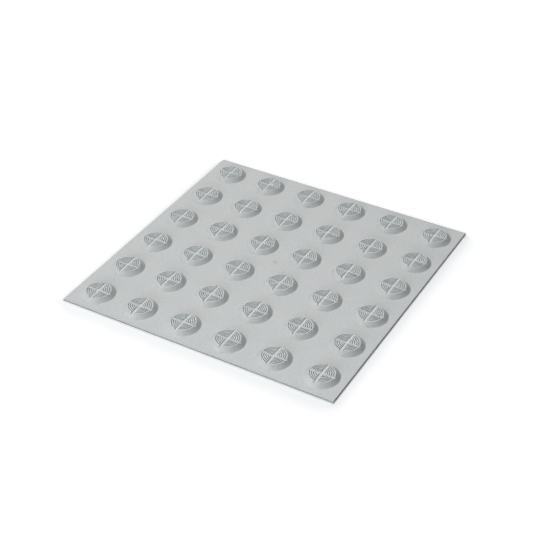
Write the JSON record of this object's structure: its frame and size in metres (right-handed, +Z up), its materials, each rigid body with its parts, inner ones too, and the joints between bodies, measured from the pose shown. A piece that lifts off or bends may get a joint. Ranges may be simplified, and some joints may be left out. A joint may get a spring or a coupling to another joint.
{
  "type": "tactile ground surface indicator tile",
  "caption": "Thin square moulded plastic tile with a grid of low truncated-cone studs whose flat tops carry crossed drainage channels, stuck to a walking surface as a warning underfoot.",
  "frame": {"origin": "centre of the flat underside", "axes": "+Z up, out of the studded face; X and Y along the tile's sides"},
  "size_m": [0.3, 0.3, 0.006],
  "materials": {
    "moulded_polymer": "light grey moulded polymer, matte with a fine moulded grain"
  },
  "bodies": {
    "root": {"tactile_tile": "moulded_polymer"}
  },
  "joints": []
}
